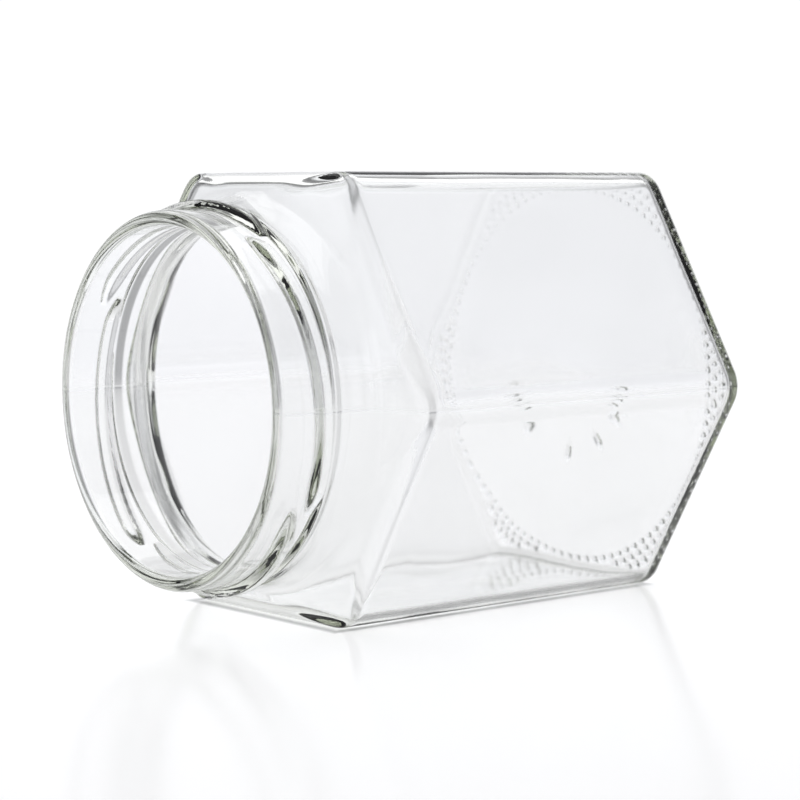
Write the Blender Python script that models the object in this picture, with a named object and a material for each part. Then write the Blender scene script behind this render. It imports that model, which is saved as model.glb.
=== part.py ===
"""Empty hexagonal glass jar for a twist-off lid, lying on one of its six flat sides.

Metres, +Z up. The origin is on the resting surface under the middle of the jar. The jar's axis runs along
Y: the open mouth faces -Y and the base faces +Y. Two of the six long edges lie level with the axis, towards
+X and -X, so that one side is flat on the ground and the opposite one is flat on top.

A "height" in this file is measured along the jar's axis, from the base's plane towards the mouth.

The jar is one piece of glass. Its wall is drawn once, as a profile from the middle of the underside, round
the outside, over the lip and down the inside to the middle of the floor. The profile is spun round the
axis, and each spun ring is then pressed to a hexagon with round corners. The corner radius goes from that of
the body's edges up to the ring's own radius, where the ring is a circle. Four lugs for the lid are swept
along the neck and joined to it.
"""

import math

import bmesh
import bpy
from mathutils import Matrix, Vector

MM = 0.001

# Body
HEIGHT = 98.4 * MM  # base to the top of the lip
ACROSS_FLATS = 79.0 * MM
EDGE_RADIUS = 6.2 * MM  # round of the six long edges
WALL = 1.8 * MM
INNER_EDGE_RADIUS = EDGE_RADIUS - WALL  # the glass is as thick in the six corners as on the sides
LEAST_EDGE_SHARE = 0.3  # part of an edge's radius that is always left where a ring is inset

# Base
HEEL_RADIUS = 1.9 * MM
PUSH_UP_RADIUS = 35.5 * MM  # round hollow in the underside
PUSH_UP_DEPTH = 1.6 * MM
PUSH_UP_SHARES = (0.0, 0.35, 0.6, 0.8, 0.92)  # where the hollow's rings are, as parts of its radius
PUSH_UP_EASE = 1.5  # above 1, the hollow starts gently at its rim
FLOOR_EDGE = 1.7 * MM  # inner floor above the underside, at the walls
FLOOR_MIDDLE = 3.5 * MM
FLOOR_FILLET = 1.6 * MM
FLOOR_SHARES = (0.66, 0.33, 0.0)  # where the inner floor's rings are, as parts of its radius

# Shoulder
SHOULDER_RADIUS = 3.2 * MM
NECK_FILLET = 7.4 * MM
INNER_SHOULDER_RADIUS = 3.2 * MM
THROAT_FILLET = 9.2 * MM
NECK_START = 84.8 * MM  # height where the outside of the neck is upright
THROAT_START = 83.8 * MM  # the same for the inside
OUTER_CIRCLE = 4.8 * MM  # this far below the upright neck, the outer rings are full circles
INNER_CIRCLE = 6.7 * MM  # the same for the inside

# Neck
NECK_RADIUS = 33.0 * MM
BORE_RADIUS = 30.4 * MM
LIP_ROUND = (NECK_RADIUS - BORE_RADIUS) / 2  # the lip is a half round over the whole wall

BEAD_TOP = 88.1 * MM  # the low bead below the lugs starts at this height
BEAD_CREST = 87.2 * MM
BEAD_FOOT = 85.1 * MM
BEAD_RISE = 0.85 * MM  # how far its crest stands out of the neck

# Lugs for the lid
LUGS = 4
LUG_FIRST_ANGLE = 60.0  # degrees round the mouth from +X towards +Z, where a lug starts
LUG_TURN = 92.0  # degrees from start to end, clockwise as seen from the mouth
LUG_TOP = 92.2 * MM  # height of the lug's middle where it starts
LUG_DROP = 3.4 * MM
LUG_LEVELLING = 1.8  # above 1, the lug drops at its start and runs nearly level at its end
LUG_OUTER_RADIUS = 34.7 * MM
LUG_HALF_WIDTH = 1.9 * MM
LUG_ROOT_RADIUS = 32.0 * MM  # inside the wall, where the lug's bar has its middle
LUG_END_SHARE = 0.14  # part of the lug's length over which each end narrows and sinks into the wall
LUG_TIP_SCALE = 0.3  # size of the bar at its tips, against its middle
LUG_BACK = 0.6 * MM  # the bar's flat back lies this far inside its middle

# Mesh
SIDES = 6
STEPS_ROUND = 84
CORNER_CROWDING = 1.7  # above 1, the rings have more points near the six corners
CURVE_STEPS = 5  # along each round of the profile
HEEL_STEPS = 4
LIP_STEPS = 8
BEAD_STEPS = 4  # on each of the bead's two flanks
SHARP_ANGLE = 35.0  # degrees between two faces, above which their edge stays sharp
LUG_STEPS = 26
LUG_SIDES = 12

SECTOR = 2 * math.pi / SIDES
HALF_SECTOR = SECTOR / 2
APOTHEM = ACROSS_FLATS / 2

# Glass
GLASS_COLOUR = (0.93, 0.96, 0.95, 1.0)
GLASS_ROUGHNESS = 0.02
GLASS_IOR = 1.52


def clear_scene():
    """Removes every object that is in the scene."""
    for obj in list(bpy.data.objects):
        bpy.data.objects.remove(obj)


def smooth_step(value):
    """0 below 0, 1 above 1, and a smooth rise between."""
    value = min(1.0, max(0.0, value))
    return value * value * (3 - 2 * value)


def arc(centre, radius, start, end, steps):
    """Points (radius, height) on an arc, both ends included. The angles start and end are in degrees."""
    turns = [math.radians(start + (end - start) * i / steps) for i in range(steps + 1)]
    return [(centre[0] + radius * math.cos(t), centre[1] + radius * math.sin(t)) for t in turns]


def s_curve(lower, upper, lower_radius, upper_radius, steps):
    """Two arcs that join two upright lines, from the one at lower[0] inwards to the one at upper[0].

    Each of lower and upper is (radius, height), and only upper's height is read: the lower end follows from
    the two arc radii. The points go upwards.
    """
    run = lower[0] - upper[0]
    turn = math.degrees(math.acos(1 - run / (lower_radius + upper_radius)))
    rise = (lower_radius + upper_radius) * math.sin(math.radians(turn))
    start = upper[1] - rise
    convex = arc((lower[0] - lower_radius, start), lower_radius, 0, turn, steps)
    concave = arc((upper[0] + upper_radius, upper[1]), upper_radius, 180 + turn, 180, steps)
    return convex + concave[1:]


def corner_radius(radius, height, flat, edge, full_circle, shoulder):
    """Corner radius of the ring at this height.

    On the body it is edge, less what the ring is inset from the flat side. From the shoulder's height up to
    full_circle it grows to the ring's own radius, which makes the ring a circle.
    """
    on_body = max(edge - (flat - radius), edge * LEAST_EDGE_SHARE)
    share = smooth_step((height - shoulder) / (full_circle - shoulder))
    return on_body + (radius - on_body) * share


def outer_profile():
    """(radius, height, corner radius) from the underside's middle up a flat side to the neck."""
    points = []
    for share in PUSH_UP_SHARES:
        height = PUSH_UP_DEPTH * (1 - share * share) ** PUSH_UP_EASE
        points.append((PUSH_UP_RADIUS * share, height, PUSH_UP_RADIUS * share))
    points.append((PUSH_UP_RADIUS, 0.0, PUSH_UP_RADIUS))
    heel = arc((APOTHEM - HEEL_RADIUS, HEEL_RADIUS), HEEL_RADIUS, -90, 0, HEEL_STEPS)
    points += [(r, h, EDGE_RADIUS - (APOTHEM - r)) for r, h in heel]
    neck = (NECK_RADIUS, NECK_START)
    shoulder = s_curve((APOTHEM, 0), neck, SHOULDER_RADIUS, NECK_FILLET, CURVE_STEPS)
    low = shoulder[2][1]
    full_circle = NECK_START - OUTER_CIRCLE
    for r, h in shoulder:
        points.append((r, h, corner_radius(r, h, APOTHEM, EDGE_RADIUS, full_circle, low)))
    return points


def bead_profile():
    """(radius, height, corner radius) up the neck's bead: a long lower flank, then a short upper one."""
    points = []
    for start, end in ((BEAD_FOOT, BEAD_CREST), (BEAD_TOP, BEAD_CREST)):
        flank = []
        for i in range(BEAD_STEPS + 1):
            share = i / BEAD_STEPS
            radius = NECK_RADIUS + BEAD_RISE * smooth_step(share)
            flank.append((radius, start + (end - start) * share, radius))
        points += flank if start < end else flank[-2::-1]
    return points


def lip_profile():
    """(radius, height, corner radius) of the half round lip, from the outside into the bore."""
    middle = (NECK_RADIUS - LIP_ROUND, HEIGHT - LIP_ROUND)
    return [(r, h, r) for r, h in arc(middle, LIP_ROUND, 0, 180, LIP_STEPS)]


def inner_profile():
    """(radius, height, corner radius) down the inside, from the bore to the middle of the floor."""
    flat = APOTHEM - WALL
    bore = (BORE_RADIUS, THROAT_START)
    throat = s_curve((flat, 0), bore, INNER_SHOULDER_RADIUS, THROAT_FILLET, CURVE_STEPS)
    low = throat[2][1]
    full_circle = THROAT_START - INNER_CIRCLE
    points = []
    for r, h in reversed(throat):
        points.append((r, h, corner_radius(r, h, flat, INNER_EDGE_RADIUS, full_circle, low)))
    fillet = arc((flat - FLOOR_FILLET, FLOOR_EDGE + FLOOR_FILLET), FLOOR_FILLET, 0, -90, CURVE_STEPS)
    points += [(r, h, INNER_EDGE_RADIUS - (flat - r)) for r, h in fillet]
    edge = flat - FLOOR_FILLET
    for share in FLOOR_SHARES:
        height = FLOOR_MIDDLE - (FLOOR_MIDDLE - FLOOR_EDGE) * share * share
        points.append((edge * share, height, edge * share))
    return points


def pressed_radius(radius, corner, angle):
    """Distance at this angle from the axis to a round-cornered hexagon whose flat sides are radius away."""
    off_corner = abs((angle + HALF_SECTOR) % SECTOR - HALF_SECTOR)
    centre = (radius - corner) / math.cos(HALF_SECTOR)
    tangent = math.atan2(corner * math.sin(HALF_SECTOR), centre + corner * math.cos(HALF_SECTOR))
    if off_corner < tangent:
        across = centre * math.sin(off_corner)
        return centre * math.cos(off_corner) + math.sqrt(corner * corner - across * across)
    return radius / math.cos(HALF_SECTOR - off_corner)


def crowded_angle(angle):
    """The angle moved towards the nearest corner, so that the tight round there gets enough points."""
    nearest = round(angle / SECTOR) * SECTOR
    off = (angle - nearest) / HALF_SECTOR
    return nearest + math.copysign(abs(off) ** CORNER_CROWDING, off) * HALF_SECTOR


def spun_jar():
    """The jar without its lugs, as a bmesh. Its axis is Y, its base is at y = 0 and its mouth faces -Y."""
    bm = bmesh.new()
    corner = bm.verts.layers.float.new("corner")
    stations = outer_profile() + bead_profile() + lip_profile() + inner_profile()
    line = []
    for radius, height, rounding in stations:
        vert = bm.verts.new((radius, -height, 0))
        vert[corner] = rounding
        line.append(vert)
    edges = [bm.edges.new(pair) for pair in zip(line, line[1:])]
    bmesh.ops.spin(
        bm,
        geom=line + edges,
        cent=(0, 0, 0),
        axis=(0, 1, 0),
        dvec=(0, 0, 0),
        angle=2 * math.pi,
        steps=STEPS_ROUND,
        use_merge=True,
    )
    for vert in bm.verts:
        radius = math.hypot(vert.co.x, vert.co.z)
        if radius < MM / 100:
            continue
        angle = crowded_angle(math.atan2(vert.co.z, vert.co.x))
        away = pressed_radius(radius, min(vert[corner], radius), angle)
        vert.co = Vector((away * math.cos(angle), vert.co.y, away * math.sin(angle)))
    bmesh.ops.remove_doubles(bm, verts=bm.verts, dist=MM / 1000)
    bmesh.ops.recalc_face_normals(bm, faces=bm.faces)
    return bm


def lug_mesh(name):
    """One lug, an oval bar swept down the neck from the angle 0, with tips that narrow into the wall."""
    bm = bmesh.new()
    place = Matrix.Translation((LUG_ROOT_RADIUS, -LUG_TOP, 0))
    oval = Matrix.Diagonal((LUG_OUTER_RADIUS - LUG_ROOT_RADIUS, LUG_HALF_WIDTH, 1, 1))
    section = bmesh.ops.create_circle(bm, radius=1, segments=LUG_SIDES, matrix=place @ oval)
    for vert in bm.verts:
        vert.co.x = max(vert.co.x, LUG_ROOT_RADIUS - LUG_BACK)
    bmesh.ops.spin(
        bm,
        geom=section["verts"] + list(bm.edges),
        cent=(0, 0, 0),
        axis=(0, 1, 0),
        dvec=(0, 0, 0),
        angle=math.radians(LUG_TURN),
        steps=LUG_STEPS,
    )
    bmesh.ops.holes_fill(bm, edges=[e for e in bm.edges if e.is_boundary])
    for vert in bm.verts:
        share = math.degrees(math.atan2(-vert.co.z, vert.co.x)) % 360 / LUG_TURN
        to_tip = min(share, 1 - share) / LUG_END_SHARE
        scale = LUG_TIP_SCALE + (1 - LUG_TIP_SCALE) * math.sqrt(smooth_step(to_tip))
        radius = math.hypot(vert.co.x, vert.co.z)
        narrowed = LUG_ROOT_RADIUS + (radius - LUG_ROOT_RADIUS) * scale
        drop = LUG_DROP * (1 - max(0.0, 1 - share) ** LUG_LEVELLING)
        vert.co.x *= narrowed / radius
        vert.co.z *= narrowed / radius
        vert.co.y = drop - LUG_TOP + (vert.co.y + LUG_TOP) * scale
    bmesh.ops.recalc_face_normals(bm, faces=bm.faces)
    mesh = bpy.data.meshes.new(name)
    bm.to_mesh(mesh)
    bm.free()
    return mesh


def glass():
    """Clear soda-lime glass with a faint green cast."""
    material = bpy.data.materials.new("clear_glass")
    material.use_nodes = True
    shader = material.node_tree.nodes["Principled BSDF"]
    shader.inputs["Base Color"].default_value = GLASS_COLOUR
    shader.inputs["Roughness"].default_value = GLASS_ROUGHNESS
    shader.inputs["Metallic"].default_value = 0.0
    shader.inputs["IOR"].default_value = GLASS_IOR
    shader.inputs["Transmission Weight"].default_value = 1.0
    return material


def build():
    """Makes the jar as the one object of the scene."""
    clear_scene()
    mesh = bpy.data.meshes.new("glass_jar")
    bm = spun_jar()
    bm.to_mesh(mesh)
    bm.free()
    jar = bpy.data.objects.new("glass_jar", mesh)
    bpy.context.scene.collection.objects.link(jar)

    lugs = bpy.data.collections.new("lugs")
    bpy.context.scene.collection.children.link(lugs)
    lug = lug_mesh("lug")
    for number in range(LUGS):
        bar = bpy.data.objects.new(f"lug_{number}", lug)
        bar.rotation_euler.y = -math.radians(LUG_FIRST_ANGLE + 360 / LUGS * number)
        lugs.objects.link(bar)
    union = jar.modifiers.new("join_lugs", "BOOLEAN")
    union.operation = "UNION"
    union.solver = "EXACT"
    union.operand_type = "COLLECTION"
    union.collection = lugs
    bpy.context.view_layer.update()
    joined = bpy.data.meshes.new_from_object(jar.evaluated_get(bpy.context.evaluated_depsgraph_get()))
    jar.modifiers.clear()
    jar.data = joined
    for bar in list(lugs.objects):
        bpy.data.objects.remove(bar)
    bpy.data.collections.remove(lugs)

    joined.name = "glass_jar"
    joined.transform(Matrix.Translation((0, HEIGHT / 2, APOTHEM)))
    joined.materials.clear()
    joined.materials.append(glass())
    joined.shade_smooth()
    joined.set_sharp_from_angle(angle=math.radians(SHARP_ANGLE))


build()
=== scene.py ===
"""A clear hexagonal glass jar for a twist-off lid, lying on one flat side on a pale studio floor.

The jar is one piece of moulded glass, so the scene has one finished piece. It stands for the solid of the
same name, and follows its sizes: the mouth faces -Y, the base +Y, and two of the six long edges point
towards +X and -X. Sizes in this file are millimetres unless a name says otherwise, and become metres only
when a mesh is placed.
"""

from __future__ import annotations

import logging
import math
from dataclasses import dataclass, field
from enum import Enum

import bmesh
import bpy
from mathutils import Matrix, Vector, noise


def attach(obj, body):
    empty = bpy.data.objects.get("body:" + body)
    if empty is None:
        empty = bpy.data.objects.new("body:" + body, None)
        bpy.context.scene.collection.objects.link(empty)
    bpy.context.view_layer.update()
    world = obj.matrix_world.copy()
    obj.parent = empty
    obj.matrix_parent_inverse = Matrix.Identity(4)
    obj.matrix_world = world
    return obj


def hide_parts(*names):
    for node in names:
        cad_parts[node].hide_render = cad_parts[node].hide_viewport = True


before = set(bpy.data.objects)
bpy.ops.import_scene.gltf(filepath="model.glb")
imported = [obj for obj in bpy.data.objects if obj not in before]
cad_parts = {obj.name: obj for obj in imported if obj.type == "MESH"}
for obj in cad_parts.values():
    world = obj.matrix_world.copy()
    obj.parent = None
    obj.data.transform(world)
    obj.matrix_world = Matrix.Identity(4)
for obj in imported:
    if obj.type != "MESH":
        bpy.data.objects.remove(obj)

LOG = logging.getLogger("hexagonal_jar")
MM = 0.001
JAR_NODE = "glass_jar"
BODY = "root"
SAME_PLACE = 0.001  # points closer than this, in millimetres, become one


def smooth_step(value: float) -> float:
    """Eases from 0 to 1.

    Args:
        value: any number; below 0 it counts as 0, above 1 as 1.

    Returns:
        A value from 0 to 1 that leaves and arrives gently.
    """
    value = min(1.0, max(0.0, value))
    return value * value * (3.0 - 2.0 * value)


class Side(Enum):
    """Which face of the wall a station of the profile lies on."""

    UNDERSIDE = 1
    OUTSIDE = 2
    NECK = 3
    LIP = 4
    INSIDE = 5


@dataclass(frozen=True)
class Station:
    """One point of the wall's profile.

    Attributes:
        radius: distance from the jar's axis, measured to the middle of a flat side.
        height: distance from the plane that the jar stands on, towards the mouth.
        corner: radius of the ring's six corners; the ring's own radius makes it a circle.
        side: the face of the wall.
    """

    radius: float
    height: float
    corner: float
    side: Side


@dataclass(frozen=True)
class Arc:
    """A round stretch of the profile.

    Attributes:
        radius: distance of the arc's centre from the jar's axis.
        height: height of the arc's centre.
        bend: the arc's own radius.
        start: angle where it starts, in degrees; 0 points away from the axis and 90 to the mouth.
        end: angle where it ends, in degrees.
    """

    radius: float
    height: float
    bend: float
    start: float
    end: float

    def points(self, steps: int) -> list[tuple[float, float]]:
        """Spreads points along the arc.

        Args:
            steps: number of stretches between the points.

        Returns:
            The (radius, height) of each point, both ends included.
        """
        turns = [math.radians(self.start + (self.end - self.start) * i / steps) for i in range(steps + 1)]
        sides = [(math.cos(t), math.sin(t)) for t in turns]
        return [(self.radius + self.bend * out, self.height + self.bend * up) for out, up in sides]


@dataclass(frozen=True)
class HexagonPress:
    """Presses round rings to hexagons with round corners, and leaves circles as they are.

    Attributes:
        sides: number of flat sides.
        crowding: above 1, more of a ring's points gather near its corners.
    """

    sides: int = 6
    crowding: float = 1.6

    @property
    def sector(self) -> float:
        """Angle from one corner to the next."""
        return 2.0 * math.pi / self.sides

    def crowded(self, angle: float) -> float:
        """Moves an angle towards the nearest corner.

        Args:
            angle: angle round the axis, in radians.

        Returns:
            The moved angle.
        """
        half = self.sector / 2.0
        nearest = round(angle / self.sector) * self.sector
        off = (angle - nearest) / half
        return nearest + math.copysign(abs(off) ** self.crowding, off) * half

    def reach(self, radius: float, corner: float, angle: float) -> float:
        """Finds how far a pressed ring reaches from the axis.

        Args:
            radius: distance of the flat sides from the axis.
            corner: radius of the ring's corners.
            angle: angle round the axis, in radians.

        Returns:
            The distance from the axis at this angle.
        """
        half = self.sector / 2.0
        corner = min(corner, radius)
        off = abs((angle + half) % self.sector - half)
        centre = (radius - corner) / math.cos(half)
        tangent = math.atan2(corner * math.sin(half), centre + corner * math.cos(half))
        if off < tangent:
            across = centre * math.sin(off)
            return centre * math.cos(off) + math.sqrt(corner * corner - across * across)
        return radius / math.cos(half - off)


@dataclass(frozen=True)
class TwistOffLugs:
    """The lugs round the neck that the lid's own lugs slide under.

    Attributes:
        count: number of lugs.
        first_angle: degrees from +X towards +Z where a lug starts, at its end near the mouth.
        turn: degrees from a lug's start to its end, clockwise as seen from the mouth.
        start_height: height of the lug's middle line at its start.
        drop: how much lower the middle line is at the lug's end.
        levelling: above 1, the lug drops at its start and runs nearly level at its end.
        rise: how far the lug stands out of the neck.
        half_width: half of the lug's foot, along the jar's axis.
        flank: part of the half width that the sloping flank takes.
        tip: part of the lug's length over which each end narrows.
        tip_width: part of the half width that is left at the very end.
    """

    count: int = 4
    first_angle: float = 60.0
    turn: float = 92.0
    start_height: float = 92.2
    drop: float = 3.4
    levelling: float = 1.8
    rise: float = 1.7
    half_width: float = 1.9
    flank: float = 0.62
    tip: float = 0.12
    tip_width: float = 0.35

    def middle(self, share: float) -> float:
        """Height of the lug's middle line, a share of the way from its start to its end."""
        return self.start_height - self.drop * (1.0 - (1.0 - share) ** self.levelling)

    def stand_out(self, angle: float, height: float) -> float:
        """Finds how far the lugs raise the neck's surface at one place.

        Args:
            angle: angle round the axis, in radians, from +X towards +Z.
            height: height above the base.

        Returns:
            The distance that the surface stands out of the neck.
        """
        pitch = 360.0 / self.count
        share = (self.first_angle - math.degrees(angle)) % pitch / self.turn
        if share >= 1.0:
            return 0.0
        taper = math.sqrt(smooth_step(min(share, 1.0 - share) / self.tip))
        if taper <= 0.0:
            return 0.0
        width = self.half_width * (self.tip_width + (1.0 - self.tip_width) * taper)
        across = abs(height - self.middle(share)) / width
        return self.rise * taper * smooth_step((1.0 - across) / self.flank)


@dataclass(frozen=True)
class NeckBead:
    """The low bead round the neck, between the lugs and the shoulder.

    Attributes:
        top: height where the bead's short flank starts, on the lugs' side.
        crest: height where the bead stands out most.
        foot: height where its long flank ends in the shoulder.
        rise: how far the crest stands out of the neck.
    """

    top: float = 88.1
    crest: float = 87.2
    foot: float = 85.1
    rise: float = 0.85

    def stand_out(self, height: float) -> float:
        """How far the bead raises the neck's surface at one height above the base."""
        end = self.top if height > self.crest else self.foot
        return self.rise * smooth_step((end - height) / (end - self.crest))


@dataclass(frozen=True)
class MouldMarks:
    """What the mould leaves on the glass: the parting seam and a slightly uneven inner wall.

    Attributes:
        seam_rise: height of the seam above the glass.
        seam_half_width: half of the seam's width, along the surface.
        wave_size: distance from one swell of the inner wall to the next.
        wave_rise: how far the inner wall swells in and out.
        wave_fade: height below the bore over which the swells grow from nothing.
        wave_core: nearer to the axis than this the swells shrink.
        tick_circle: radius of the circle of plain ticks in the push-up.
        ticks: directions of the ticks from the axis, in degrees from +X towards +Z.
        tick_size: half length and half width of a tick.
        tick_rise: height of a tick.
    """

    seam_rise: float = 0.03
    seam_half_width: float = 0.12
    wave_size: float = 17.0
    wave_rise: float = 0.16
    wave_fade: float = 12.0
    wave_core: float = 8.0
    tick_circle: float = 15.0
    ticks: tuple[float, ...] = (-165.0, -154.0, -136.0, -88.0, -55.0, -30.0, -21.0, -6.0)
    tick_size: tuple[float, float] = (1.2, 0.6)
    tick_rise: float = 0.36

    def seam(self, radius: float, angle: float) -> float:
        """Height of the parting seam, which follows the two corners towards +X and -X."""
        off = abs((angle + math.pi / 2.0) % math.pi - math.pi / 2.0) * radius
        return self.seam_rise * math.exp(-((off / self.seam_half_width) ** 2))

    def tick(self, away: float, angle: float) -> float:
        """Height of the plain ticks that tell one mould from another."""
        height = 0.0
        for direction in self.ticks:
            turn = (angle - math.radians(direction) + math.pi) % (2.0 * math.pi) - math.pi
            along = (away - self.tick_circle) / self.tick_size[0]
            across = turn * away / self.tick_size[1]
            height += self.tick_rise * math.exp(-(along**4) - across**4)
        return height

    def swell(self, place: Vector) -> float:
        """How far the inner wall swells at a place given in millimetres."""
        return self.wave_rise * noise.noise(place / self.wave_size)


@dataclass(frozen=True)
class Stipple:
    """Small domes moulded on the ring that the upright jar stands on.

    Attributes:
        rows: distances of the rows from the axis.
        pitch: distance from one dome to the next in a row.
        radius: radius of a dome's foot.
        rise: height of a dome where the mould is sharp.
        worn: share of the height that is lost where the mould is most worn.
        worn_side: direction of that side, in degrees from +X towards +Z.
        margin: room left between a dome and the heel.
        sides: points round a dome's foot.
        rings: rings from the foot of a dome's ball to its top.
    """

    rows: tuple[float, ...] = (36.1, 37.8, 39.5)
    pitch: float = 2.3
    radius: float = 0.5
    rise: float = 0.16
    worn: float = 0.7
    worn_side: float = 120.0
    margin: float = 0.9
    sides: int = 10
    rings: int = 6

    def places(self, press: HexagonPress, heel: Station) -> list[Vector]:
        """Lays the rows out as far as the heel leaves room.

        Args:
            press: shape of the rings.
            heel: the ring where the heel starts.

        Returns:
            The middle of each dome, on the base's plane.
        """
        found = []
        for row, away in enumerate(self.rows):
            count = round(2.0 * math.pi * away / self.pitch)
            for i in range(count):
                angle = 2.0 * math.pi * (i + 0.5 * (row % 2)) / count
                room = press.reach(heel.radius, heel.corner, angle) - away - self.radius
                if room > self.margin:
                    found.append(Vector((away * math.cos(angle), 0.0, away * math.sin(angle))))
        return found

    def height(self, place: Vector) -> float:
        """Height of the dome at a place; the mould has worn more on one side."""
        turn = math.atan2(place.z, place.x) - math.radians(self.worn_side)
        return self.rise * (1.0 - self.worn * (0.5 + 0.5 * math.cos(turn)))

    def ring(self, press: HexagonPress, heel: Station, loops: list[list[Vector]]) -> bpy.types.Mesh:
        """Makes the flat ring between the push-up and the heel, with its domes.

        Args:
            press: shape of the rings.
            heel: the ring where the heel starts.
            loops: the points of the flat ring's two borders, in order.

        Returns:
            A mesh that only lasts until it is joined to the jar.
        """
        bm = bmesh.new()
        upright = Matrix.Rotation(math.pi / 2.0, 4, "X")
        for place in self.places(press, heel):
            flattened = Matrix.Diagonal((1.0, 1.0, self.height(place) / self.radius, 1.0))
            bmesh.ops.create_uvsphere(
                bm,
                u_segments=self.sides,
                v_segments=self.rings,
                radius=self.radius,
                matrix=Matrix.Translation(place) @ upright @ flattened,
            )
        bmesh.ops.bisect_plane(
            bm,
            geom=bm.verts[:] + bm.edges[:] + bm.faces[:],
            dist=SAME_PLACE / 10.0,
            plane_co=(0.0, 0.0, 0.0),
            plane_no=(0.0, 1.0, 0.0),
            clear_inner=True,
        )
        for loop in loops:
            verts = [bm.verts.new(point) for point in loop]
            for pair in zip(verts, verts[1:] + verts[:1]):
                bm.edges.new(pair)
        borders = [edge for edge in bm.edges if len(edge.link_faces) < 2]
        bmesh.ops.triangle_fill(bm, use_beauty=True, edges=borders, normal=(0.0, 1.0, 0.0))
        mesh = bpy.data.meshes.new("stippled_ring")
        bm.to_mesh(mesh)
        bm.free()
        return mesh


@dataclass(frozen=True)
class ClearGlass:
    """Soda-lime glass: clear where thin, grey-green where light runs a long way through it.

    Attributes:
        index: refractive index.
        roughness: roughness of the fire-polished skin.
        tint: colour of the glass skin.
        deep_colour: colour that thick glass takes.
        depth: how strongly thick glass takes it, for each metre.
        ripple_size: distance between the fine ripples of the skin, in metres.
        ripple: strength of the ripples.
        ripple_detail: octaves of the ripples, and how strong each is beside the one before.
        ripple_flatness: a ripple's length over its depth.
    """

    index: float = 1.52
    roughness: float = 0.0
    tint: tuple[float, float, float, float] = (0.988, 0.989, 0.992, 1.0)
    deep_colour: tuple[float, float, float, float] = (0.66, 0.71, 0.54, 1.0)
    depth: float = 16.0
    ripple_size: float = 0.009
    ripple: float = 0.012
    ripple_detail: tuple[float, float] = (2.0, 0.45)
    ripple_flatness: float = 10.0

    def material(self) -> bpy.types.Material:
        """Makes the glass with a faintly rippled skin.

        Returns:
            The finished material.
        """
        material = bpy.data.materials.new("clear_glass")
        material.use_nodes = True
        tree = material.node_tree
        skin = tree.nodes["Principled BSDF"]
        skin.inputs["Base Color"].default_value = self.tint
        skin.inputs["Roughness"].default_value = self.roughness
        skin.inputs["IOR"].default_value = self.index
        skin.inputs["Transmission Weight"].default_value = 1.0

        place = tree.nodes.new("ShaderNodeTexCoord")
        ripples = tree.nodes.new("ShaderNodeTexNoise")
        ripples.inputs["Scale"].default_value = 1.0 / self.ripple_size
        ripples.inputs["Detail"].default_value = self.ripple_detail[0]
        ripples.inputs["Roughness"].default_value = self.ripple_detail[1]
        bump = tree.nodes.new("ShaderNodeBump")
        bump.inputs["Strength"].default_value = self.ripple
        bump.inputs["Distance"].default_value = self.ripple_size / self.ripple_flatness
        tree.links.new(place.outputs["Object"], ripples.inputs["Vector"])
        tree.links.new(ripples.outputs["Fac"], bump.inputs["Height"])
        tree.links.new(bump.outputs["Normal"], skin.inputs["Normal"])

        depth = tree.nodes.new("ShaderNodeVolumeAbsorption")
        depth.inputs["Color"].default_value = self.deep_colour
        depth.inputs["Density"].default_value = self.depth
        tree.links.new(depth.outputs["Volume"], tree.nodes["Material Output"].inputs["Volume"])
        return material


@dataclass(frozen=True)
class Fineness:
    """Into how many stretches each part of the wall's profile is divided.

    Attributes:
        push_up: the hollow of the underside.
        push_up_crowding: above 1, more of the hollow's rings lie near its rim.
        tick_spacing: distance between the finer rings across the ticks.
        tick_rings: finer rings to either side of the ticks' circle.
        heel: the round between the sides and the base.
        sides: the flat sides outside.
        shoulder: each of a shoulder's two arcs, outside and inside.
        neck: the neck's outside.
        lip: the half round lip.
        bore: the neck's inside.
        inner_sides: the flat sides inside.
        floor_fillet: the round between the inner sides and the floor.
        floor: the inner floor.
        round_the_axis: points round each ring.
    """

    push_up: int = 14
    push_up_crowding: float = 1.6
    tick_spacing: float = 0.3
    tick_rings: int = 5
    heel: int = 9
    sides: int = 8
    shoulder: int = 11
    neck: int = 56
    lip: int = 18
    bore: int = 10
    inner_sides: int = 14
    floor_fillet: int = 10
    floor: int = 12
    round_the_axis: int = 360


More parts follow.
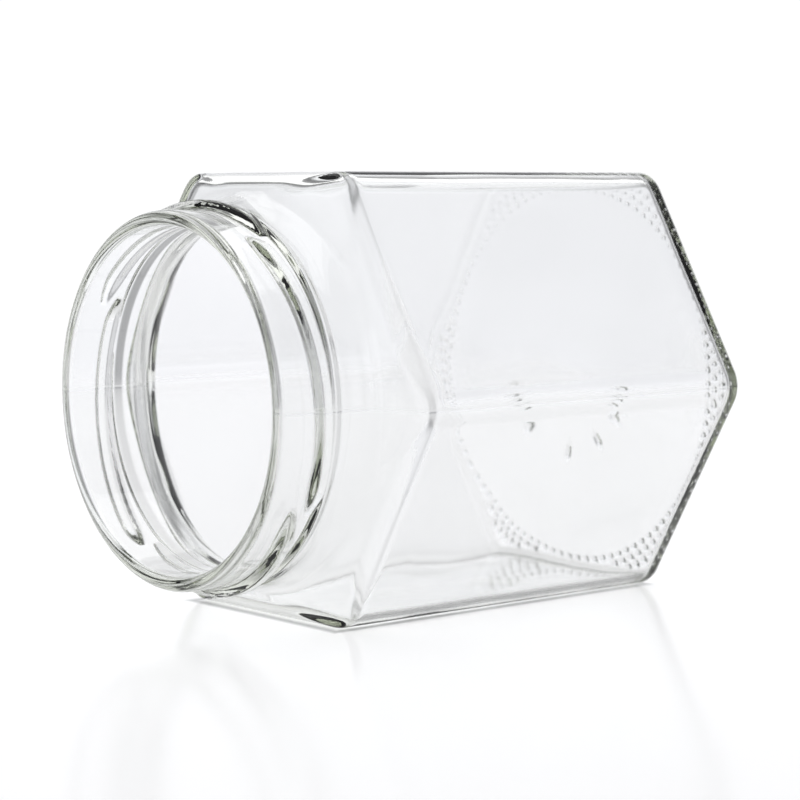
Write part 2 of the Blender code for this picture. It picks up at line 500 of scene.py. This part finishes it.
@dataclass
class GlassJar:
    """The whole jar: one closed wall of glass from the push-up under the base to the inner floor.

    Attributes:
        height: base to the top of the lip.
        across_flats: width from one flat side to the opposite one.
        edge_round: radius of the six long edges.
        wall: thickness of the flat sides.
        inner_edge_round: radius of the six edges inside.
        heel: radius where the sides meet the base.
        push_up: radius of the round recess in the underside.
        push_up_depth: depth of the recess in its middle.
        push_up_ease: above 1, the recess starts gently at its rim.
        floor_edge: inner floor above the underside, at the walls.
        floor_middle: the same in the middle.
        floor_fillet: radius between the inner floor and the walls.
        floor_turn: part of the inner floor, from the walls inwards, where its rings turn into circles.
        shoulder_round: outer radius where the sides turn into the shoulder.
        neck_fillet: outer radius where the shoulder turns into the neck.
        neck_start: height where the neck's outside is upright.
        inner_shoulder_round: the inner wall's radius at the shoulder.
        throat_fillet: the inner wall's radius where the shoulder turns into the bore.
        throat_start: height where the bore is upright.
        neck: outer radius of the neck.
        bore: inner radius of the neck.
        turn_from: number of the shoulder's point where the rings start to turn round, outside and inside.
        round_below: how far below the upright neck the rings are circles, outside and inside.
        least_edge: part of an edge's radius that is always left where a ring is inset.
    """

    height: float = 98.4
    across_flats: float = 79.0
    edge_round: float = 6.2
    wall: float = 1.8
    inner_edge_round: float = 4.4
    heel: float = 1.9
    push_up: float = 35.5
    push_up_depth: float = 1.6
    push_up_ease: float = 1.5
    floor_edge: float = 1.7
    floor_middle: float = 3.5
    floor_fillet: float = 1.6
    floor_turn: float = 1.0 / 3.0
    shoulder_round: float = 3.2
    neck_fillet: float = 7.4
    neck_start: float = 84.8
    inner_shoulder_round: float = 3.2
    throat_fillet: float = 9.2
    throat_start: float = 83.8
    neck: float = 33.0
    bore: float = 30.4
    turn_from: tuple[int, int] = (3, 4)
    round_below: tuple[float, float] = (4.8, 6.7)
    least_edge: float = 0.3
    fineness: Fineness = field(default_factory=Fineness)
    press: HexagonPress = field(default_factory=HexagonPress)
    lugs: TwistOffLugs = field(default_factory=TwistOffLugs)
    bead: NeckBead = field(default_factory=NeckBead)
    marks: MouldMarks = field(default_factory=MouldMarks)
    stipple: Stipple = field(default_factory=Stipple)
    glass: ClearGlass = field(default_factory=ClearGlass)

    @property
    def flat(self) -> float:
        """Distance of the flat sides from the axis."""
        return self.across_flats / 2.0

    @property
    def lip(self) -> float:
        """Radius of the half round lip, which spans the neck's whole wall."""
        return (self.neck - self.bore) / 2.0

    def _corner(
        self, station: tuple[float, float], flat: float, edge: float, low: float, full: float
    ) -> float:
        """Finds the corner radius of a ring on the sides or the shoulder.

        Args:
            station: the ring's (radius, height).
            flat: distance of the sides from the axis, on this face of the wall.
            edge: corner radius on the sides.
            low: height where the ring starts to turn round.
            full: height where the ring is a circle.

        Returns:
            The ring's corner radius.
        """
        radius, height = station
        on_sides = max(edge - (flat - radius), edge * self.least_edge)
        return on_sides + (radius - on_sides) * smooth_step((height - low) / (full - low))

    def _shoulder(
        self, flat: float, top: tuple[float, float], bends: tuple[float, float]
    ) -> list[tuple[float, float]]:
        """Joins the upright side to the upright neck with two arcs.

        Args:
            flat: distance of the side from the axis.
            top: (radius, height) where the neck is upright.
            bends: radii of the shoulder's arc and of the neck's.

        Returns:
            The (radius, height) of each point, going up.
        """
        steps = self.fineness.shoulder
        turn = math.degrees(math.acos(1.0 - (flat - top[0]) / sum(bends)))
        start = top[1] - sum(bends) * math.sin(math.radians(turn))
        convex = Arc(flat - bends[0], start, bends[0], 0.0, turn).points(steps)
        concave = Arc(top[0] + bends[1], top[1], bends[1], 180.0 + turn, 180.0).points(steps)
        return convex + concave[1:]

    def _underside(self) -> list[Station]:
        """The push-up in the middle of the base, out to the flat ring round it."""
        bands, crowding = self.fineness.push_up, self.fineness.push_up_crowding
        coarse = [self.push_up * (1.0 - (1.0 - i / bands) ** crowding) for i in range(bands + 1)]
        spacing, rings = self.fineness.tick_spacing, self.fineness.tick_rings
        fine = [self.marks.tick_circle + spacing * i for i in range(-rings, rings + 1)]
        room = 2.0 * spacing
        radii = sorted([r for r in coarse if not fine[0] - room < r < fine[-1] + room] + fine)
        stations = []
        for radius in radii:
            height = self.push_up_depth * (1.0 - (radius / self.push_up) ** 2) ** self.push_up_ease
            stations.append(Station(radius, height, radius, Side.UNDERSIDE))
        return stations

    def _outside(self) -> list[Station]:
        """The heel, the flat sides and the shoulder, up to the neck."""
        heel = Arc(self.flat - self.heel, self.heel, self.heel, -90.0, 0.0).points(self.fineness.heel)
        stations = [Station(r, h, self.edge_round - (self.flat - r), Side.OUTSIDE) for r, h in heel]
        shoulder = self._shoulder(
            self.flat, (self.neck, self.neck_start), (self.shoulder_round, self.neck_fillet)
        )
        low = shoulder[0][1]
        bands = self.fineness.sides
        for i in range(1, bands):
            height = self.heel + (low - self.heel) * i / bands
            stations.append(Station(self.flat, height, self.edge_round, Side.OUTSIDE))
        turn_start = shoulder[self.turn_from[0]][1]
        circle = self.neck_start - self.round_below[0]
        for r, h in shoulder:
            corner = self._corner((r, h), self.flat, self.edge_round, turn_start, circle)
            stations.append(Station(r, h, corner, Side.OUTSIDE))
        return stations

    def _neck_and_lip(self) -> list[Station]:
        """The upright neck that carries the lugs, and the half round lip."""
        bands = self.fineness.neck
        top = self.height - self.lip
        stations = []
        for i in range(1, bands):
            height = self.neck_start + (top - self.neck_start) * i / bands
            stations.append(Station(self.neck, height, self.neck, Side.NECK))
        for r, h in Arc(self.neck - self.lip, top, self.lip, 0.0, 180.0).points(self.fineness.lip):
            stations.append(Station(r, h, r, Side.LIP))
        return stations

    def _inside(self) -> list[Station]:
        """The bore, the throat, the inner sides and the floor, down to its middle."""
        flat = self.flat - self.wall
        top = self.height - self.lip
        bands = self.fineness.bore
        stations = []
        for i in range(1, bands):
            height = top + (self.throat_start - top) * i / bands
            stations.append(Station(self.bore, height, self.bore, Side.INSIDE))
        throat = self._shoulder(
            flat, (self.bore, self.throat_start), (self.inner_shoulder_round, self.throat_fillet)
        )
        turn_start = throat[self.turn_from[1]][1]
        circle = self.throat_start - self.round_below[1]
        for r, h in reversed(throat):
            corner = self._corner((r, h), flat, self.inner_edge_round, turn_start, circle)
            stations.append(Station(r, h, corner, Side.INSIDE))
        low = self.floor_edge + self.floor_fillet
        bands = self.fineness.inner_sides
        for i in range(1, bands):
            height = throat[0][1] + (low - throat[0][1]) * i / bands
            stations.append(Station(flat, height, self.inner_edge_round, Side.INSIDE))
        fillet = Arc(flat - self.floor_fillet, low, self.floor_fillet, 0.0, -90.0)
        for r, h in fillet.points(self.fineness.floor_fillet):
            stations.append(Station(r, h, self.inner_edge_round - (flat - r), Side.INSIDE))
        edge = flat - self.floor_fillet
        bands = self.fineness.floor
        for i in range(1, bands + 1):
            share = 1.0 - i / bands
            height = self.floor_middle - (self.floor_middle - self.floor_edge) * share * share
            corner = self.inner_edge_round - self.floor_fillet
            corner += (edge - corner) * smooth_step((1.0 - share) / self.floor_turn)
            stations.append(Station(edge * share, height, corner * share, Side.INSIDE))
        return stations

    def _placed(self, station: Station, angle: float) -> Vector:
        """Finds where one point of the wall lies.

        Args:
            station: the ring that the point belongs to.
            angle: angle round the axis, in radians.

        Returns:
            The place in millimetres, with the base's plane at y = 0.
        """
        away = self.press.reach(station.radius, station.corner, angle)
        if station.side is Side.NECK:
            away += max(self.lugs.stand_out(angle, station.height), self.bead.stand_out(station.height))
        if station.side in (Side.NECK, Side.OUTSIDE):
            away += self.marks.seam(away, angle)
        height = station.height
        if station.side is Side.UNDERSIDE and height > 0.0:
            height -= self.marks.tick(away, angle)
        place = Vector((away * math.cos(angle), -height, away * math.sin(angle)))
        if station.side is Side.INSIDE and station.height < self.throat_start:
            fade = smooth_step((self.throat_start - station.height) / self.marks.wave_fade)
            swell = self.marks.swell(place) * fade
            share = 1.0 + swell / max(away, self.marks.wave_core)
            place = Vector((place.x * share, place.y + swell, place.z * share))
        return place

    @staticmethod
    def _turn(vert: bmesh.types.BMVert) -> float:
        """Angle of a vertex round the axis."""
        return math.atan2(vert.co.z, vert.co.x)

    def build(self) -> bpy.types.Object:
        """Spins the wall's profile into the jar and presses it to shape.

        Returns:
            The jar, with its glass.
        """
        stations = self._underside() + self._outside() + self._neck_and_lip() + self._inside()
        bm = bmesh.new()
        number = bm.verts.layers.int.new("station")
        line = []
        for index, station in enumerate(stations):
            vert = bm.verts.new((station.radius, -station.height, 0.0))
            vert[number] = index
            line.append(vert)
        edges = [bm.edges.new(pair) for pair in zip(line, line[1:])]
        bmesh.ops.spin(
            bm,
            geom=line + edges,
            cent=(0.0, 0.0, 0.0),
            axis=(0.0, 1.0, 0.0),
            dvec=(0.0, 0.0, 0.0),
            angle=2.0 * math.pi,
            steps=self.fineness.round_the_axis,
            use_merge=True,
        )
        for vert in bm.verts:
            angle = self.press.crowded(math.atan2(vert.co.z, vert.co.x))
            vert.co = self._placed(stations[vert[number]], angle)
        rim = len(self._underside()) - 1
        borders = [[vert for vert in bm.verts if vert[number] == index] for index in (rim, rim + 1)]
        flat = [face for face in bm.faces if all(vert[number] in (rim, rim + 1) for vert in face.verts)]
        loops = [[vert.co.copy() for vert in sorted(ring, key=self._turn)] for ring in borders]
        bmesh.ops.delete(bm, geom=flat, context="FACES")
        ring = self.stipple.ring(self.press, stations[rim + 1], loops)
        bm.from_mesh(ring)
        bpy.data.meshes.remove(ring)
        bmesh.ops.remove_doubles(bm, verts=bm.verts, dist=SAME_PLACE)
        bmesh.ops.recalc_face_normals(bm, faces=bm.faces)
        to_frame = Matrix.Translation((0.0, self.height * MM / 2.0, self.flat * MM))
        bmesh.ops.transform(bm, matrix=to_frame @ Matrix.Scale(MM, 4), verts=bm.verts)
        mesh = bpy.data.meshes.new("hexagonal_jar")
        bm.to_mesh(mesh)
        bm.free()
        mesh.shade_smooth()
        mesh.materials.append(self.glass.material())
        jar = bpy.data.objects.new("hexagonal_jar", mesh)
        bpy.context.scene.collection.objects.link(jar)
        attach(jar, BODY)
        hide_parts(JAR_NODE)
        return jar


@dataclass(frozen=True)
class Studio:
    """The pale floor, the soft light round the jar and the camera.

    Attributes:
        floor_radius: radius of the floor, in metres.
        floor_sides: points round the floor's rim.
        floor_roughness: roughness of the floor's skin.
        floor_shine: strength of the floor's reflections.
        gap: air between the floor and the jar, in metres.
        floor_colour: colour of the floor.
        floor_glow: light that comes up through the floor near the jar and away from it.
        seen_glow: light that is added where the floor is seen without the jar before it.
        glow_start: distance from the jar's middle where the floor's glow starts to grow, in metres.
        fade_start: distance where the floor starts to fade into the backdrop, in metres.
        contact: middle and half width of the patch that the jar rests on, along X and Y, in metres.
        painted_shade_width: how far the painted shade at the patch's border reaches, in metres.
        painted_contact_shade: part of the floor's colour and glow that the painted shade leaves at the
            border.
        backdrop: brightness of the backdrop that the camera sees.
        ceiling: brightness of the room by height: (sine of the elevation, brightness).
        flags: brightness of the room to either side: (degrees away from the heading, brightness).
        flag_height: sines of the elevations where the flags start to thin out and where they end.
        cloud_scale: number of soft clouds of light per unit of direction.
        cloud_detail: octaves of the clouds.
        cloud_range: values of the noise where the clouds start and where they are whole.
        cloud_depth: brightness between the clouds.
        room_tint: colour of the room's light.
        lamp_size: length and width of the soft lamp over the jar, in metres.
        lamp_power: the lamp's power, in watts.
        lamp_place: the lamp's place, in metres.
        lamp_aim: the point that the lamp faces, in metres.
        sensor: width of the camera's sensor, in millimetres.
        lens: focal length, in millimetres.
        aperture: focal length over the width of the lens opening.
        focus: distance at which the picture is sharpest, in metres.
        camera_place: the camera's place, in metres.
        heading: the camera's turn from +Y towards -X, in degrees.
        tilt: the camera's tilt above the horizon, in degrees.
        roll: the camera's roll, in degrees.
        sight: nearest and farthest distance that the camera sees, in metres.
        bounces: how often light may turn in all, and how often by reflection.
    """

    floor_radius: float = 0.75
    floor_sides: int = 96
    floor_roughness: float = 0.16
    floor_shine: float = 0.1
    gap: float = 0.00015
    floor_colour: tuple[float, float, float, float] = (0.93, 0.93, 0.935, 1.0)
    floor_glow: tuple[float, float] = (0.22, 0.19)
    seen_glow: float = 0.13
    glow_start: float = 0.06
    fade_start: float = 0.35
    contact: dict[str, tuple[float, float]] = field(
        default_factory=lambda: {"X": (0.0, 0.0212), "Y": (0.0102, 0.0384)}
    )
    painted_shade_width: float = 0.002
    painted_contact_shade: float = 0.45
    backdrop: float = 1.04
    ceiling: tuple[tuple[float, float], ...] = (
        (0.0, 1.12),
        (0.28, 1.12),
        (0.42, 0.66),
        (0.53, 0.38),
        (0.6, 0.42),
        (0.74, 0.38),
        (0.88, 0.3),
        (1.0, 0.3),
    )
    flags: tuple[tuple[float, float], ...] = (
        (0.0, 1.0),
        (11.0, 1.0),
        (22.0, 0.38),
        (34.0, 0.7),
        (56.0, 0.7),
        (67.0, 0.12),
        (78.0, 0.7),
        (101.0, 0.7),
        (112.0, 0.12),
        (124.0, 0.85),
        (146.0, 0.85),
        (157.0, 0.15),
        (168.0, 0.95),
        (180.0, 0.95),
    )
    flag_height: tuple[float, float] = (0.46, 0.62)
    cloud_scale: float = 6.0
    cloud_detail: float = 1.0
    cloud_range: tuple[float, float] = (0.3, 0.7)
    cloud_depth: float = 0.86
    room_tint: tuple[float, float, float] = (0.98, 0.983, 1.0)
    lamp_size: tuple[float, float] = (1.5, 1.1)
    lamp_power: float = 4.6
    lamp_place: tuple[float, float, float] = (-0.25, 0.15, 0.9)
    lamp_aim: tuple[float, float, float] = (0.0, 0.0, 0.04)
    sensor: float = 36.0
    lens: float = 107.16
    aperture: float = 28.0
    focus: float = 0.41
    camera_place: tuple[float, float, float] = (0.33831, -0.28152, 0.07555)
    heading: float = 49.80
    tilt: float = -5.01
    roll: float = -0.14
    sight: tuple[float, float] = (0.01, 50.0)
    bounces: tuple[int, int] = (32, 16)

    def floor(self) -> bpy.types.Object:
        """Makes the pale floor, with painted shade round the patch that the jar rests on.

        Returns:
            The floor's disc.
        """
        bm = bmesh.new()
        bmesh.ops.create_circle(bm, cap_ends=True, radius=self.floor_radius, segments=self.floor_sides)
        mesh = bpy.data.meshes.new("studio_floor")
        bm.to_mesh(mesh)
        bm.free()
        material = bpy.data.materials.new("pale_acrylic")
        material.use_nodes = True
        tree = material.node_tree
        skin = tree.nodes["Principled BSDF"]
        skin.inputs["Roughness"].default_value = self.floor_roughness
        skin.inputs["Specular IOR Level"].default_value = self.floor_shine
        skin.inputs["Emission Color"].default_value = (1.0, 1.0, 1.0, 1.0)

        place = tree.nodes.new("ShaderNodeTexCoord")
        away = tree.nodes.new("ShaderNodeVectorMath")
        away.operation = "LENGTH"
        glow = tree.nodes.new("ShaderNodeMapRange")
        glow.inputs["From Min"].default_value = self.glow_start
        glow.inputs["From Max"].default_value = self.fade_start
        glow.inputs["To Min"].default_value = self.floor_glow[0]
        glow.inputs["To Max"].default_value = self.floor_glow[1]
        tree.links.new(place.outputs["Object"], away.inputs[0])
        tree.links.new(away.outputs["Value"], glow.inputs["Value"])
        # Painted contact shade: a thin strip round the border of the patch that the jar rests on darkens
        # the floor's colour and glow, standing in for the jar's contact shadow.
        split = tree.nodes.new("ShaderNodeSeparateXYZ")
        tree.links.new(place.outputs["Object"], split.inputs["Vector"])
        beyond = [self._beyond(tree, split.outputs[axis], *self.contact[axis]) for axis in ("X", "Y")]
        outermost = tree.nodes.new("ShaderNodeMath")
        outermost.operation = "MAXIMUM"
        from_edge = tree.nodes.new("ShaderNodeMath")
        from_edge.operation = "ABSOLUTE"
        shade = tree.nodes.new("ShaderNodeMapRange")
        shade.interpolation_type = "SMOOTHSTEP"
        shade.inputs["From Max"].default_value = self.painted_shade_width
        shade.inputs["To Min"].default_value = self.painted_contact_shade
        tree.links.new(beyond[0], outermost.inputs[0])
        tree.links.new(beyond[1], outermost.inputs[1])
        tree.links.new(outermost.outputs["Value"], from_edge.inputs[0])
        tree.links.new(from_edge.outputs["Value"], shade.inputs["Value"])

        # The painted shade darkens the floor's colour towards black and scales its glow down.
        colour = tree.nodes.new("ShaderNodeMix")
        colour.data_type = "RGBA"
        colour.inputs["A"].default_value = (0.0, 0.0, 0.0, 1.0)
        colour.inputs["B"].default_value = self.floor_colour
        glow_under_painted_shade = tree.nodes.new("ShaderNodeMath")
        glow_under_painted_shade.operation = "MULTIPLY"
        tree.links.new(shade.outputs["Result"], colour.inputs["Factor"])
        tree.links.new(colour.outputs["Result"], skin.inputs["Base Color"])
        path = tree.nodes.new("ShaderNodeLightPath")
        seen = tree.nodes.new("ShaderNodeMath")
        seen.operation = "MULTIPLY_ADD"
        seen.inputs[1].default_value = self.seen_glow
        tree.links.new(path.outputs["Is Camera Ray"], seen.inputs[0])
        tree.links.new(glow.outputs["Result"], seen.inputs[2])
        tree.links.new(seen.outputs["Value"], glow_under_painted_shade.inputs[0])
        tree.links.new(shade.outputs["Result"], glow_under_painted_shade.inputs[1])
        tree.links.new(glow_under_painted_shade.outputs["Value"], skin.inputs["Emission Strength"])

        fade = tree.nodes.new("ShaderNodeMapRange")
        fade.interpolation_type = "SMOOTHSTEP"
        fade.inputs["From Min"].default_value = self.fade_start
        fade.inputs["From Max"].default_value = self.floor_radius
        clear = tree.nodes.new("ShaderNodeBsdfTransparent")
        blend = tree.nodes.new("ShaderNodeMixShader")
        tree.links.new(away.outputs["Value"], fade.inputs["Value"])
        tree.links.new(fade.outputs["Result"], blend.inputs["Fac"])
        tree.links.new(skin.outputs["BSDF"], blend.inputs[1])
        tree.links.new(clear.outputs["BSDF"], blend.inputs[2])
        tree.links.new(blend.outputs["Shader"], tree.nodes["Material Output"].inputs["Surface"])
        mesh.materials.append(material)
        floor = bpy.data.objects.new("studio_floor", mesh)
        floor.location.z = -self.gap
        bpy.context.scene.collection.objects.link(floor)
        return floor

    @staticmethod
    def _beyond(
        tree: bpy.types.NodeTree, axis: bpy.types.NodeSocket, middle: float, half: float
    ) -> bpy.types.NodeSocket:
        """Measures how far the floor's points lie beyond a strip, along one axis.

        Args:
            tree: the floor's nodes.
            axis: the points' coordinate.
            middle: middle of the strip, in metres.
            half: half of its width, in metres.

        Returns:
            The socket with the distance, negative inside the strip.
        """
        offset = tree.nodes.new("ShaderNodeMath")
        offset.operation = "SUBTRACT"
        offset.inputs[1].default_value = middle
        size = tree.nodes.new("ShaderNodeMath")
        size.operation = "ABSOLUTE"
        past = tree.nodes.new("ShaderNodeMath")
        past.operation = "SUBTRACT"
        past.inputs[1].default_value = half
        tree.links.new(axis, offset.inputs[0])
        tree.links.new(offset.outputs["Value"], size.inputs[0])
        tree.links.new(size.outputs["Value"], past.inputs[0])
        return past.outputs["Value"]

    def surroundings(self) -> None:
        """Lights the room: white walls all round, black flags at the sides, and a darker ceiling."""
        world = bpy.data.worlds.new("soft_room")
        bpy.context.scene.world = world
        world.use_nodes = True
        tree = world.node_tree
        tree.nodes.clear()
        place = tree.nodes.new("ShaderNodeTexCoord")

        split = tree.nodes.new("ShaderNodeSeparateXYZ")
        height = tree.nodes.new("ShaderNodeValToRGB")
        self._grade(height, self.ceiling)
        tree.links.new(place.outputs["Generated"], split.inputs["Vector"])
        tree.links.new(split.outputs["Z"], height.inputs["Fac"])

        level = tree.nodes.new("ShaderNodeVectorMath")
        level.operation = "MULTIPLY"
        level.inputs[1].default_value = (1.0, 1.0, 0.0)
        unit = tree.nodes.new("ShaderNodeVectorMath")
        unit.operation = "NORMALIZE"
        ahead = tree.nodes.new("ShaderNodeVectorMath")
        ahead.operation = "DOT_PRODUCT"
        turn = math.radians(self.heading)
        ahead.inputs[1].default_value = (-math.sin(turn), math.cos(turn), 0.0)
        away = tree.nodes.new("ShaderNodeMath")
        away.operation = "ARCCOSINE"
        half_turns = tree.nodes.new("ShaderNodeMath")
        half_turns.operation = "DIVIDE"
        half_turns.inputs[1].default_value = math.pi
        flags = tree.nodes.new("ShaderNodeValToRGB")
        self._grade(flags, tuple((degrees / 180.0, brightness) for degrees, brightness in self.flags))
        tree.links.new(place.outputs["Generated"], level.inputs[0])
        tree.links.new(level.outputs["Vector"], unit.inputs[0])
        tree.links.new(unit.outputs["Vector"], ahead.inputs[0])
        tree.links.new(ahead.outputs["Value"], away.inputs[0])
        tree.links.new(away.outputs["Value"], half_turns.inputs[0])
        tree.links.new(half_turns.outputs["Value"], flags.inputs["Fac"])

        clouds = tree.nodes.new("ShaderNodeTexNoise")
        clouds.inputs["Scale"].default_value = self.cloud_scale
        clouds.inputs["Detail"].default_value = self.cloud_detail
        evenness = tree.nodes.new("ShaderNodeMapRange")
        evenness.inputs["From Min"].default_value = self.cloud_range[0]
        evenness.inputs["From Max"].default_value = self.cloud_range[1]
        evenness.inputs["To Min"].default_value = self.cloud_depth
        tree.links.new(place.outputs["Generated"], clouds.inputs["Vector"])
        tree.links.new(clouds.outputs["Fac"], evenness.inputs["Value"])

        shade = tree.nodes.new("ShaderNodeMix")
        shade.data_type = "RGBA"
        shade.blend_type = "MULTIPLY"
        room = tree.nodes.new("ShaderNodeBackground")
        backdrop = tree.nodes.new("ShaderNodeBackground")
        backdrop.inputs["Color"].default_value = (1.0, 1.0, 1.0, 1.0)
        backdrop.inputs["Strength"].default_value = self.backdrop
        pick = tree.nodes.new("ShaderNodeMixShader")
        path = tree.nodes.new("ShaderNodeLightPath")
        out = tree.nodes.new("ShaderNodeOutputWorld")
        flag_top = tree.nodes.new("ShaderNodeMapRange")
        flag_top.interpolation_type = "SMOOTHSTEP"
        flag_top.inputs["From Min"].default_value = self.flag_height[0]
        flag_top.inputs["From Max"].default_value = self.flag_height[1]
        flag_top.inputs["To Min"].default_value = 1.0
        flag_top.inputs["To Max"].default_value = 0.0
        tree.links.new(split.outputs["Z"], flag_top.inputs["Value"])
        tree.links.new(flag_top.outputs["Result"], shade.inputs["Factor"])
        tree.links.new(height.outputs["Color"], shade.inputs["A"])
        tree.links.new(flags.outputs["Color"], shade.inputs["B"])
        tree.links.new(shade.outputs["Result"], room.inputs["Color"])
        tree.links.new(evenness.outputs["Result"], room.inputs["Strength"])
        tree.links.new(path.outputs["Is Camera Ray"], pick.inputs["Fac"])
        tree.links.new(room.outputs["Background"], pick.inputs[1])
        tree.links.new(backdrop.outputs["Background"], pick.inputs[2])
        tree.links.new(pick.outputs["Shader"], out.inputs["Surface"])

    def _grade(self, ramp: bpy.types.Node, stops: tuple[tuple[float, float], ...]) -> None:
        """Sets the stops of a ramp from black to white.

        Args:
            ramp: the ramp's node.
            stops: the (place, brightness) of each stop, going up.
        """
        ramp.color_ramp.interpolation = "EASE"
        elements = ramp.color_ramp.elements
        while len(elements) < len(stops):
            elements.new(1.0)
        for element, (place, brightness) in zip(elements, stops):
            element.position = place
            element.color = (*(brightness * part for part in self.room_tint), 1.0)

    def lamps(self) -> None:
        """Hangs the large soft lamp over the jar."""
        data = bpy.data.lights.new("overhead_softbox", "AREA")
        data.shape = "RECTANGLE"
        data.size, data.size_y = self.lamp_size
        data.energy = self.lamp_power
        lamp = bpy.data.objects.new("overhead_softbox", data)
        lamp.location = self.lamp_place
        lamp.rotation_euler = (Vector(self.lamp_aim) - lamp.location).to_track_quat("-Z", "Y").to_euler()
        bpy.context.scene.collection.objects.link(lamp)

    def camera(self) -> bpy.types.Object:
        """Sets the camera at the front, low and to the right of the mouth.

        Returns:
            The camera.
        """
        data = bpy.data.cameras.new("camera")
        data.lens = self.lens
        data.sensor_width = self.sensor
        data.dof.use_dof = True
        data.dof.focus_distance = self.focus
        data.dof.aperture_fstop = self.aperture
        data.clip_start, data.clip_end = self.sight
        camera = bpy.data.objects.new("camera", data)
        aim = Matrix.Rotation(math.radians(self.heading), 4, "Z")
        aim = aim @ Matrix.Rotation(math.radians(90.0 + self.tilt), 4, "X")
        aim = aim @ Matrix.Rotation(math.radians(self.roll), 4, "Z")
        camera.matrix_world = Matrix.Translation(self.camera_place) @ aim
        bpy.context.scene.collection.objects.link(camera)
        bpy.context.scene.camera = camera
        return camera

    def exposure(self) -> None:
        """Sets the plain view of colours and lets light pass often enough through the glass."""
        scene = bpy.context.scene
        scene.view_settings.view_transform = "Standard"
        scene.view_settings.look = "None"
        in_all, by_reflection = self.bounces
        scene.cycles.max_bounces = in_all
        scene.cycles.transmission_bounces = in_all
        scene.cycles.glossy_bounces = by_reflection
        scene.cycles.caustics_refractive = True
        scene.cycles.caustics_reflective = True
        scene.cycles.blur_glossy = 0.0

    def build(self) -> None:
        """Sets up everything round the jar."""
        self.floor()
        self.surroundings()
        self.lamps()
        self.camera()
        self.exposure()


def main() -> None:
    """Builds the jar, then the studio round it."""
    logging.basicConfig(level=logging.INFO, format="%(name)s: %(message)s")
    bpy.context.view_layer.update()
    jar = GlassJar().build()
    LOG.info("%s: %d faces of clear glass", jar.name, len(jar.data.polygons))
    Studio().build()
    LOG.info("studio: floor, soft light and camera")


if __name__ == "__main__":
    main()
